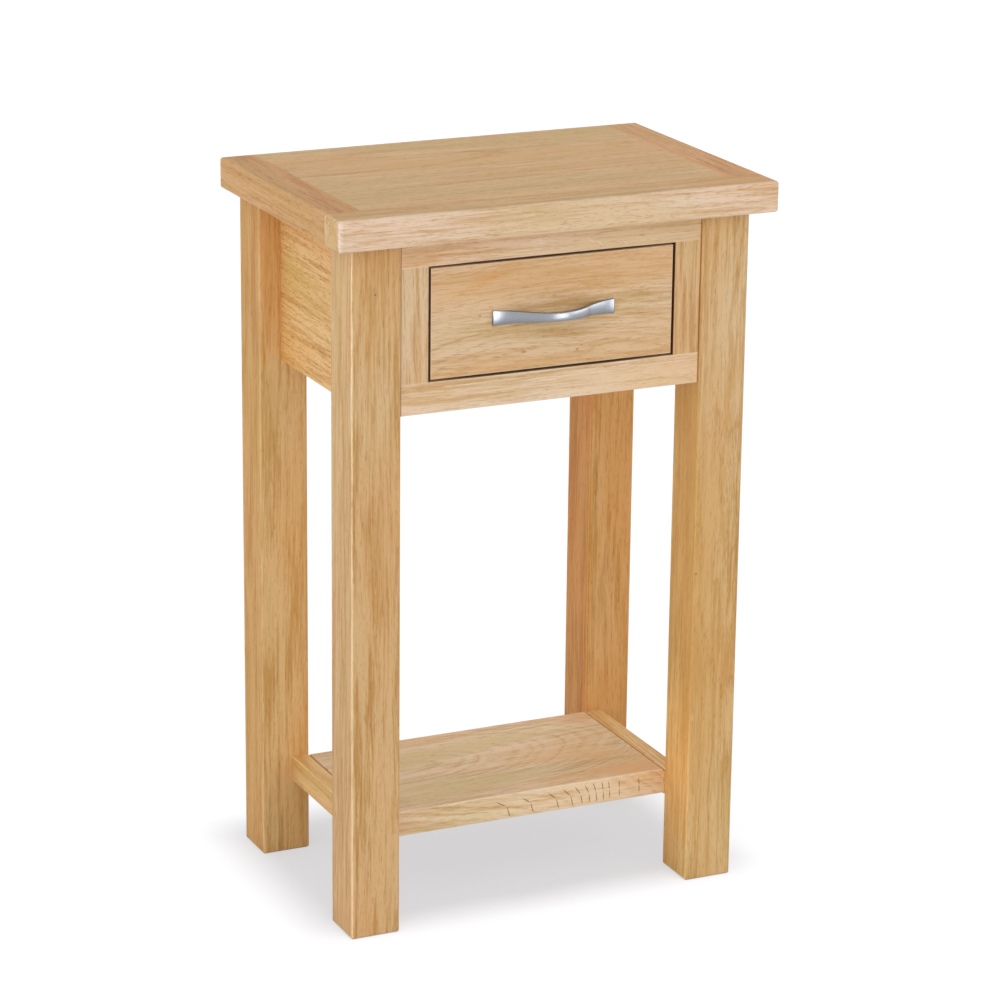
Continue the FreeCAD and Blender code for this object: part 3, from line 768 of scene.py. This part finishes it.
for rail, gap_z, rim_z, amount in (
        ("frame_top_rail", boxes["frame_top_rail"][0].z, rim_high.z, 1.0),
        ("frame_bottom_rail", boxes["frame_bottom_rail"][1].z, rim_low.z, 0.75)):
    # Painted shade on the rail's face beside the gap and on the rim of the drawer front.
    add_mark(oaks[rail], (0, 0, gap_z), (127.5, far, 0.45), painted_gap_shade, amount, gap_soft)
    add_mark(front, (0, front_y, rim_z), (far, 1.2, 0.35), painted_gap_shade, amount, gap_soft)
print("lines round the drawer:", len(marks))

# %% Knots and flecks
knot = (0.50, 0.34, 0.22)
speck = (0.62, 0.48, 0.36)
pale = (1.22, 1.30, 1.42)
pale_patch = (1.06, 1.10, 1.18)
for node_name, middle, half_size, tint, amount in (
        ("leg_front_left", (-181.4, -130, 633.9), (0.9, 4, 1.4), knot, 0.9),
        ("leg_front_left", (-181.4, -130, 633.9), (4, 9, 12), speck, 0.16),
        ("leg_front_right", (157.8, -130, 322.1), (1.0, 4, 1.8), knot, 0.8),
        ("leg_front_right", (157.8, -130, 172.7), (1.2, 6, 5.0), pale, 0.9),
        ("frame_top_rail", (-15.7, -128, 667), (9, 8, 8), pale_patch, 0.9),
        ("drawer_front", (-29.6, -128, 564.1), (3.4, 6, 1.2), knot, 0.75),
        ("drawer_front", (25.5, -128, 561.3), (2.2, 6, 1.4), knot, 0.75),
        ("drawer_front", (30.5, -128, 565.0), (1.6, 6, 1.0), knot, 0.45),
        ("drawer_front", (-75.1, -128, 603.2), (1.8, 6, 1.2), speck, 0.7)):
    add_mark(oaks[node_name], middle, half_size, tint, amount, soft=0.6, ragged=0.5)
for fleck_x, fleck_z in ((38.0, 665.1), (47.5, 661.4), (72.7, 661.0)):
    add_mark(oaks["frame_top_rail"], (fleck_x, front_y, fleck_z), (0.8, 6, 6), pale, 0.6,
             soft=0.6, turn=-48.0, ragged=0.5)
orange_streak = (1.0, 0.90, 0.76)
add_mark(front, (-70, front_y, 636), (62, 9, 9), orange_streak, 0.9, soft=1.0, turn=-22.0,
         ragged=0.3)
print("with knots and flecks:", len(marks))

# %% Painted sheen, highlights and shade on single faces and edges
# Painted sheen on the fronts of the strip and the front legs. Painted light on the upper left face
# of the front left leg, the lower inner face of the front right leg and the front of the back left
# leg. Painted shade on the inner faces of the right legs. Painted highlights on the shelf rail's
# top and on the left ends of the strip and the left cleat.
for node_name, middle, half_size, tint, soft in (
        ("top_front_strip", (0, -150, 695), (far, 3.4, far), (1.20, 1.40, 2.22), 0.4),
        ("leg_front_left", (-180, -130, 560), (120, 8, 150), (1.02, 1.09, 1.18), 1.0),
        ("leg_front_right", (180, -130, 560), (120, 8, 210), (1.03, 1.11, 1.40), 1.0),
        ("leg_front_right", (155, -105, 340), (2.2, far, far), (1.02, 0.96, 0.72), 0.5),
        ("leg_front_right", (155, -105, 90), (2.2, far, 150), (1.32, 1.34, 1.60), 1.0),
        ("leg_front_left", (-205, -105, 620), (4, far, 280), (1.09, 1.14, 1.20), 1.0),
        ("leg_back_left", (-180, 100, 250), (far, 3, far), (1.16, 1.36, 1.95), 0.5),
        ("leg_back_right", (155, 125, 300), (3, far, far), (0.92, 0.75, 0.54), 0.5),
        ("shelf_rail_left", (-165, 0, 101), (14, far, 2.5), (1.20, 1.26, 1.32), 0.5),
        ("top_front_strip", (-225, -132, 695), (5, far, far), (1.10, 1.16, 1.32), 0.5),
        ("top_cleat_left", (-225, 0, 695), (5, far, far), (1.10, 1.21, 1.56), 0.5)):
    add_mark(oaks[node_name], middle, half_size, tint, soft=soft)
# Painted highlights along one arris of each of these two legs.
for node_name, middle, half_width, tint in (
        ("leg_back_right", (155, 100, 340), 1.7, (1.22, 1.32, 1.50)),
        ("leg_front_left", (-205, -130, 340), 2.1, (1.30, 1.43, 1.72))):
    add_mark(oaks[node_name], middle, (half_width, half_width, 2000), tint, ragged=0.15)
print("with faces and edges:", len(marks))

# %% Seams of the shelf and the top
shelf_z = boxes["shelf_panel"][1].z
cleat_y = -115
for side, seam_x in leg_inside.items():
    for board in ("shelf_panel", "shelf_rail_" + side):
        add_mark(oaks[board], (seam_x, 0, shelf_z), (0.9, far, 3), brown_seam, 0.9)
    for board in ("top_cleat_" + side, "top_front_strip"):
        add_mark(oaks[board], (math.copysign(225, seam_x), cleat_y, 695), (40, 0.7, far),
                 brown_seam, 0.7)
print("with seams:", len(marks))

# %% Drying cracks, painted light on the shelf, and a warm patch
crack_tint = (0.42, 0.23, 0.13)
crack_z = 88
lower_lean = 0.3
shelf = oaks["shelf_panel"]
shelf_y = boxes["shelf_panel"][0].y
for crack_x, slant, crack_length in (
        (-18, -62, 13), (8, -56, 12), (36, -52, 12), (52, -46, 12), (63, -36, 12), (72, -26, 11),
        (80, -18, 11), (88, -10, 11), (95, -8, 10), (106, -4, 9), (128, -4, 8)):
    for end, turn in ((1, slant), (-1, slant * lower_lean)):
        reach = end * crack_length / 2
        tilt = math.radians(turn)
        middle = (crack_x + math.sin(tilt) * reach, shelf_y, crack_z + math.cos(tilt) * reach)
        add_mark(shelf, middle, (0.7, 4, abs(reach) * 1.15), crack_tint, 0.85, turn=turn,
                 ragged=0.35)
# Painted light on the back half of the shelf, and a warmer, darker patch near its front right
# corner.
add_mark(shelf, (60, 70, shelf_z), (260, 120, 60), (1.14, 1.15, 1.18), 0.9, soft=1.0)
add_mark(shelf, (140, -66, shelf_z), (60, 30, 20), (1.02, 0.88, 0.72), 0.8, soft=1.0, ragged=0.5)
print("all marks:", len(marks))

# %% [markdown]
# ## The drawer's bottom
#
# The bottom is thin birch plywood. Its faces show a peeled veneer, one endless slice that is
# cut round the log, so the figure is broad and watery. Its edges show the plies: layers of
# about a millimetre, each turned by a quarter, pale and brown in turn.

# %% Plywood
plies = 5
pale_birch = linear(228, 204, 166)
warm_birch = linear(216, 186, 142)
crossed_birch = linear(196, 160, 116)
low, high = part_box("drawer_bottom")
ply_thickness = (high.z - low.z) / plies
plywood, tree = new_material("birch_plywood")
place = tree.nodes.new("ShaderNodeTexCoord").outputs["Object"]
centred = made(tree, "ShaderNodeMapping", place, low, vector_type="TEXTURE")
layer = calc("FLOOR", over(parts_of(centred)[2], ply_thickness))
crossed = ease(calc("PINGPONG", layer, 1.0), 0.4, 0.6)
veneer = soft_noise(centred, 9.0, 9.0, (4.0, 8.0, 2.0), 2.0)
watery = move("ADD", move("MULTIPLY", centred, (4.0, 55.0, 55.0)),
              move("SCALE", veneer["Color"], None, None, 2.2))
figure = made(tree, "ShaderNodeTexNoise", Vector=watery, Scale=1.0, Detail=3.0)
hair_place = move("MULTIPLY", centred, (0.02, 1.0, 1.0))
hair = soft_noise(hair_place, 900.0, 900.0, (1.0, 2.0, 3.0))[0]
sheet_tone = blend(ease(figure, 0.35, 0.65), pale_birch, warm_birch)
sheet_tone = blend(crossed, sheet_tone, crossed_birch)
sheet_tone = move("SCALE", sheet_tone, None, None, ramp(hair, 0.16, 0.92))
sanded = made(tree, "ShaderNodeBsdfPrincipled", Base_Color=sheet_tone,
              Roughness=ramp(hair, 0.12, 0.58), Normal=tilted(hair, 0.2, 0.0002))
add(tree, "ShaderNodeOutputMaterial", sanded)
wear("drawer_bottom", plywood)
print("plywood has", plies, "plies of", round(ply_thickness * 1000, 2), "mm")

# %% [markdown]
# ## The bow handle
#
# The handle is a cast strap of satin nickel. In plan it is three arcs of one radius that meet
# smoothly: each end lies flat on the drawer and the middle bows out for the fingers. Seen from
# the front it has a waist. Such a rule is what Geometry Nodes are for. A long box with many
# cuts goes in, each of its points is moved by the rule, and every size stays a named input.
# A Bevel modifier then rounds the edges, as polishing does.

# %% Handle rule
bar_cuts = (97, 2, 9)
bow, given, result = new_group("bow_handle", "GeometryNodeTree", [
    ("Length", number, 0.126), ("Projection", number, 0.0215), ("End thickness", number, 0.0025),
    ("Strap thickness", number, 0.0052), ("End height", number, 0.015),
    ("Middle height", number, 0.0084), ("Crown", number, 0.0006), ("Foot", vector, None),
    ("Metal", "NodeSocketMaterial", None),
], [("Geometry", "NodeSocketGeometry")])


def arc_drop(radius, run):
    """How far an arc of a radius has dropped from its tangent after a run."""
    under = minus(squared(radius), squared(run))
    return minus(radius, calc("SQRT", calc("MAXIMUM", under, 0.0)))


bar_size = from_parts(given["Length"], 1.0, 1.0)
bar = made(bow, "GeometryNodeMeshCube", bar_size, *bar_cuts)
x, y, z = parts_of(bow.nodes.new("GeometryNodeInputPosition").outputs[0])
half = times(given["Length"], 0.5)
run = calc("MINIMUM", calc("ABSOLUTE", x), half)
rise = minus(given["Projection"], given["End thickness"])
squares = plus(squared(half), squared(rise))
radius = over(squares, times(rise, 4.0))
print("bow_handle has", len(bow.nodes), "nodes so far")

# %% Handle's three arcs
inner_side = ease(y, -0.4, 0.4)
outer_side = minus(1.0, inner_side)
offset = times(inner_side, given["Strap thickness"])
middle_radius = minus(radius, offset)
end_radius = plus(radius, offset)
meeting = times(half, over(middle_radius, radius), 0.5)
bowed = minus(minus(given["Projection"], offset), arc_drop(middle_radius, run))
footed = plus(minus(given["End thickness"], offset), arc_drop(end_radius, minus(half, run)))
past = calc("GREATER_THAN", run, meeting)
stand = plus(times(footed, past), times(bowed, minus(1.0, past)))
stand = calc("MAXIMUM", stand, 0.0)
print("bow_handle has", len(bow.nodes), "nodes so far")

# %% Handle's crown and waist
height_share = times(z, 2.0)
crown_drop = times(given["Crown"], outer_side, squared(height_share))
stand = minus(stand, crown_drop)
waist = times(minus(given["End height"], given["Middle height"]), 0.5)
waist_radius = over(plus(squared(half), squared(waist)), times(waist, 2.0))
half_height = plus(times(given["Middle height"], 0.5), arc_drop(waist_radius, run))
shaped = from_parts(x, times(stand, -1.0), times(height_share, half_height))
whole = made(bow, "GeometryNodeSetPosition", bar, None, move("ADD", shaped, given["Foot"]))
whole = made(bow, "GeometryNodeRealizeInstances", whole)
whole = made(bow, "GeometryNodeSetMaterial", whole, None, given["Metal"])
fill(result["Geometry"], whole)
print("bow_handle has", len(bow.nodes), "nodes")

# %% [markdown]
# ## Satin nickel
#
# Satin nickel is brushed, then plated. The brush leaves fine scratches along the strap, which
# spread a reflection sideways. Noise stretched along X drives a little roughness and relief,
# and a slow noise keeps the tone from being dead even.

# %% Satin nickel
tone_play = 0.03
rough_play = 0.07


def brushed_metal(name, tone, rough, grain_scale):
    """A metal with fine scratches along X."""
    material, tree = new_material(name)
    place = tree.nodes.new("ShaderNodeTexCoord").outputs["Object"]
    turned = made(tree, "ShaderNodeMapping", place, None, along["X"], vector_type="TEXTURE")
    scratch = soft_noise(turned, grain_scale, 40.0, (2.0, 4.0, 6.0), 3.0)[0]
    cloud = soft_noise(turned, 60.0, 60.0, (7.0, 1.0, 5.0), 2.0)[0]
    darker, lighter = [[value * (1.0 + play) for value in tone] + [1.0]
                       for play in (-tone_play, tone_play)]
    metal = made(tree, "ShaderNodeBsdfPrincipled", Metallic=1.0,
                 Base_Color=blend(cloud, darker, lighter),
                 Roughness=ramp(scratch, 2 * rough_play, rough - rough_play),
                 Normal=tilted(scratch, 0.04, 0.0001))
    add(tree, "ShaderNodeOutputMaterial", metal)
    return material


satin_nickel = brushed_metal("satin_nickel", (0.33, 0.345, 0.375), 0.28, 3000.0)
# Painted shade darkens the lower half of the strap, in place of the darker things it would reflect
# there, and a painted highlight lightens the top of its left end.
add_mark(satin_nickel, (0, -140, 591), (far, far, 11), (0.55, 0.55, 0.58), soft=1.0)
add_mark(satin_nickel, (-59, -130, 607), (12, far, 11), (1.7, 1.7, 1.7), soft=1.0)
print("satin nickel has", len(satin_nickel.node_tree.nodes), "nodes")

# %% Handle piece
def run_nodes(name, mesh, node_tree, **sizes):
    """Run a Geometry Nodes tree on a mesh with named sizes, and give the result as a plain mesh."""
    carrier = bpy.data.objects.new(name + "_maker", mesh)
    scene.collection.objects.link(carrier)
    modifier = carrier.modifiers.new("maker", "NODES")
    modifier.node_group = node_tree
    titles = {item.name: item.identifier for item in node_tree.interface.items_tree
              if item.in_out == "INPUT"}
    for title, value in sizes.items():
        modifier[titles[title.replace("_", " ")]] = value
    ready = carrier.evaluated_get(bpy.context.evaluated_depsgraph_get())
    plain_mesh = bpy.data.meshes.new_from_object(ready)
    plain_mesh.name = name
    carrier.modifiers.clear()
    bpy.data.objects.remove(carrier)
    return plain_mesh


def finished_piece(name, mesh, body, node_name):
    """Put a finished mesh in the scene, on its body, in place of its CAD node."""
    piece = bpy.data.objects.new(name, mesh)
    scene.collection.objects.link(piece)
    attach(piece, body)
    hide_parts(node_name)
    return piece


drawer_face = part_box("drawer_front")[0].y
handle_low, handle_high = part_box("handle")
handle_mesh = run_nodes("bow_handle", bpy.data.meshes.new("empty"), bow,
                        Foot=(0.0, drawer_face, (handle_low.z + handle_high.z) / 2),
                        Metal=satin_nickel)
bow_handle = finished_piece("bow_handle", handle_mesh, "drawer", "handle")
rounding = bow_handle.modifiers.new("polished_edges", "BEVEL")
rounding.width = 0.0011
rounding.segments = 4
rounding.limit_method = "ANGLE"
rounding.angle_limit = math.radians(40)
rounding.harden_normals = True
for face in handle_mesh.polygons:
    face.use_smooth = True
for lamp in softbox_lamps:
    light_only(lamp, bow_handle)
print("handle has", len(handle_mesh.polygons), "faces before its edges are rounded")

# %% [markdown]
# ## The screws
#
# Screws are the same small piece many times over, so one tree makes a screw from its sizes and
# sets it on every place of a small mesh of points. Each point carries the direction in which
# its screw was driven. The head is a cone for a countersunk screw or a dome for the machine
# screws behind the handle, a cross is cut into it, and the thread is a ridge along a spiral.

# %% Screw inputs and helpers
screw, given, result = new_group("screw_set", "GeometryNodeTree", [
    ("Places", "NodeSocketGeometry", None), ("Head diameter", number, 0.008),
    ("Head height", number, 0.0026), ("Shank diameter", number, 0.004), ("Length", number, 0.042),
    ("Domed", number, 0.0), ("Thread start", number, 0.4), ("Thread pitch", number, 0.0018),
    ("Cross width", number, 0.0011), ("Cross span", number, 0.0044),
    ("Cross depth", number, 0.0014), ("Metal", "NodeSocketMaterial", None),
], [("Geometry", "NodeSocketGeometry")])
facets = 24
core_share = 0.74
plain_share = 0.96
body_share = 0.90
tip_radius = 0.0004


def raised(mesh, height):
    """Move a mesh up along Z."""
    return made(mesh.id_data, "GeometryNodeSetPosition", mesh, Offset=from_parts(0.0, 0.0, height))


def solid_round(kind, *sizes):
    """A closed cylinder or cone with the same number of facets round it."""
    return made(tree_of(sizes), kind, facets, 1, 1, *sizes)


def together(*meshes):
    """Several meshes as one."""
    node = tree_of(meshes).nodes.new("GeometryNodeJoinGeometry")
    for mesh in meshes:
        fill(node.inputs[0], mesh)
    return node.outputs[0]


print("a screw has", facets, "facets round its shank")

# %% Screw head
head_facets = 32
dome_rings = 16
head_radius = times(given["Head diameter"], 0.5)
shank_radius = times(given["Shank diameter"], 0.5)
cone = made(screw, "GeometryNodeMeshCone", head_facets, 1, 1, shank_radius, head_radius,
            minus(head_radius, shank_radius))
ball = made(screw, "GeometryNodeMeshUVSphere", head_facets, dome_rings, 1.0)
x, y, z = parts_of(screw.nodes.new("GeometryNodeInputPosition").outputs[0])
outer = calc("SQRT", calc("MAXIMUM", times(z, -1.0), 0.0))
dome_place = from_parts(times(x, head_radius), times(y, head_radius),
                        times(outer, given["Head height"], -1.0))
dome = made(screw, "GeometryNodeSetPosition", ball, None, dome_place)
is_domed = calc("GREATER_THAN", given["Domed"], 0.5)
head = made(screw, "GeometryNodeSwitch", is_domed, cone, dome, input_type="GEOMETRY")
cross = add(screw, "GeometryNodeMeshBoolean", operation="UNION", solver="EXACT")
for long_side, short_side in (("Cross span", "Cross width"), ("Cross width", "Cross span")):
    arm = from_parts(given[long_side], given[short_side], times(given["Cross depth"], 2.0))
    fill(cross.inputs["Mesh 2"], made(screw, "GeometryNodeMeshCube", arm))
recess = raised(cross.outputs[0], times(given["Head height"], is_domed, -1.0))
cut_head = made(screw, "GeometryNodeMeshBoolean", head, recess, operation="DIFFERENCE",
                solver="EXACT")
print("screw_set has", len(screw.nodes), "nodes so far")

# %% Screw shank and thread
turn_steps = 16
core_radius = times(shank_radius, core_share)
neck = times(given["Length"], given["Thread start"])
body_length = times(given["Length"], body_share)
threaded = minus(body_length, neck)
plain_shank = solid_round("GeometryNodeMeshCylinder", times(shank_radius, plain_share), neck)
core = solid_round("GeometryNodeMeshCylinder", core_radius, body_length)
tip = solid_round("GeometryNodeMeshCone", tip_radius, core_radius,
                  times(given["Length"], 1.0 - body_share))
turns = over(threaded, given["Thread pitch"])
spiral = made(screw, "GeometryNodeCurveSpiral", turn_steps, turns, core_radius, core_radius,
              threaded)
ridge = made(screw, "GeometryNodeCurvePrimitiveCircle", 3, mode="RADIUS",
             Radius=minus(shank_radius, core_radius))
thread = made(screw, "GeometryNodeCurveToMesh", spiral, ridge, Fill_Caps=True)
whole = together(cut_head, raised(plain_shank, times(neck, 0.5)),
                 raised(core, times(body_length, 0.5)), raised(tip, body_length),
                 raised(thread, neck))
aim = made(screw, "GeometryNodeInputNamedAttribute", "aim", data_type="FLOAT_VECTOR")
facing = made(screw, "FunctionNodeAlignRotationToVector", None, None, aim, axis="Z")
driven = made(screw, "GeometryNodeInstanceOnPoints", given["Places"], None, whole, Rotation=facing)
whole = made(screw, "GeometryNodeRealizeInstances", driven)
whole = made(screw, "GeometryNodeSetMaterial", whole, None, given["Metal"])
fill(result["Geometry"], whole)
print("screw_set has", len(screw.nodes), "nodes")

# %% Screw pieces
zinc = brushed_metal("bright_zinc", (0.56, 0.565, 0.58), 0.34, 2200.0)


def points_mesh(name, places):
    """A mesh of loose points, each with the direction of its screw."""
    mesh = bpy.data.meshes.new(name)
    mesh.from_pydata([place for place, way in places], [], [])
    aims = mesh.attributes.new("aim", "FLOAT_VECTOR", "POINT")
    for index, (place, way) in enumerate(places):
        aims.data[index].vector = way
    return mesh


def screw_places(xs, ys, z, way):
    """Every pairing of some x and y at one height, all driven one way or away from the middle."""
    return [((x, y, z), (math.copysign(way[0], x) if way[0] else 0.0, way[1], way[2]))
            for x in xs for y in ys]


screw_kinds = {
    "top_screws": ("carcase",
                   screw_places((-0.14475, 0.14475), (-0.063, 0.064), 0.655, (0, 0, 1)),
                   dict(Length=0.042)),
    "runner_screws": ("carcase",
                      screw_places((-0.1255, 0.1255), (-0.063, 0.064), 0.5575, (1, 0, 0)),
                      dict(Length=0.048)),
    "bottom_screws": ("drawer", screw_places((-0.058, 0.058), (0.095,), 0.5513, (0, 0, 1)),
                      dict(Length=0.020, Head_diameter=0.006, Shank_diameter=0.003,
                           Thread_pitch=0.0013, Cross_span=0.0034, Cross_width=0.0009,
                           Cross_depth=0.0011)),
    "handle_screws": ("drawer", screw_places((-0.048, 0.048), (-0.108,), 0.600, (0, -1, 0)),
                      dict(Length=0.0226, Domed=1.0, Thread_pitch=0.0007, Thread_start=0.5)),
}
for node_name, (body, places, sizes) in screw_kinds.items():
    mesh = run_nodes(node_name + "_made", points_mesh(node_name, places), screw, Metal=zinc,
                     **sizes)
    mesh.shade_smooth()
    mesh.set_sharp_from_angle(angle=math.radians(35))
    finished_piece(node_name + "_made", mesh, body, node_name)
    print(node_name, "has", len(mesh.polygons), "faces on", len(places), "screws")
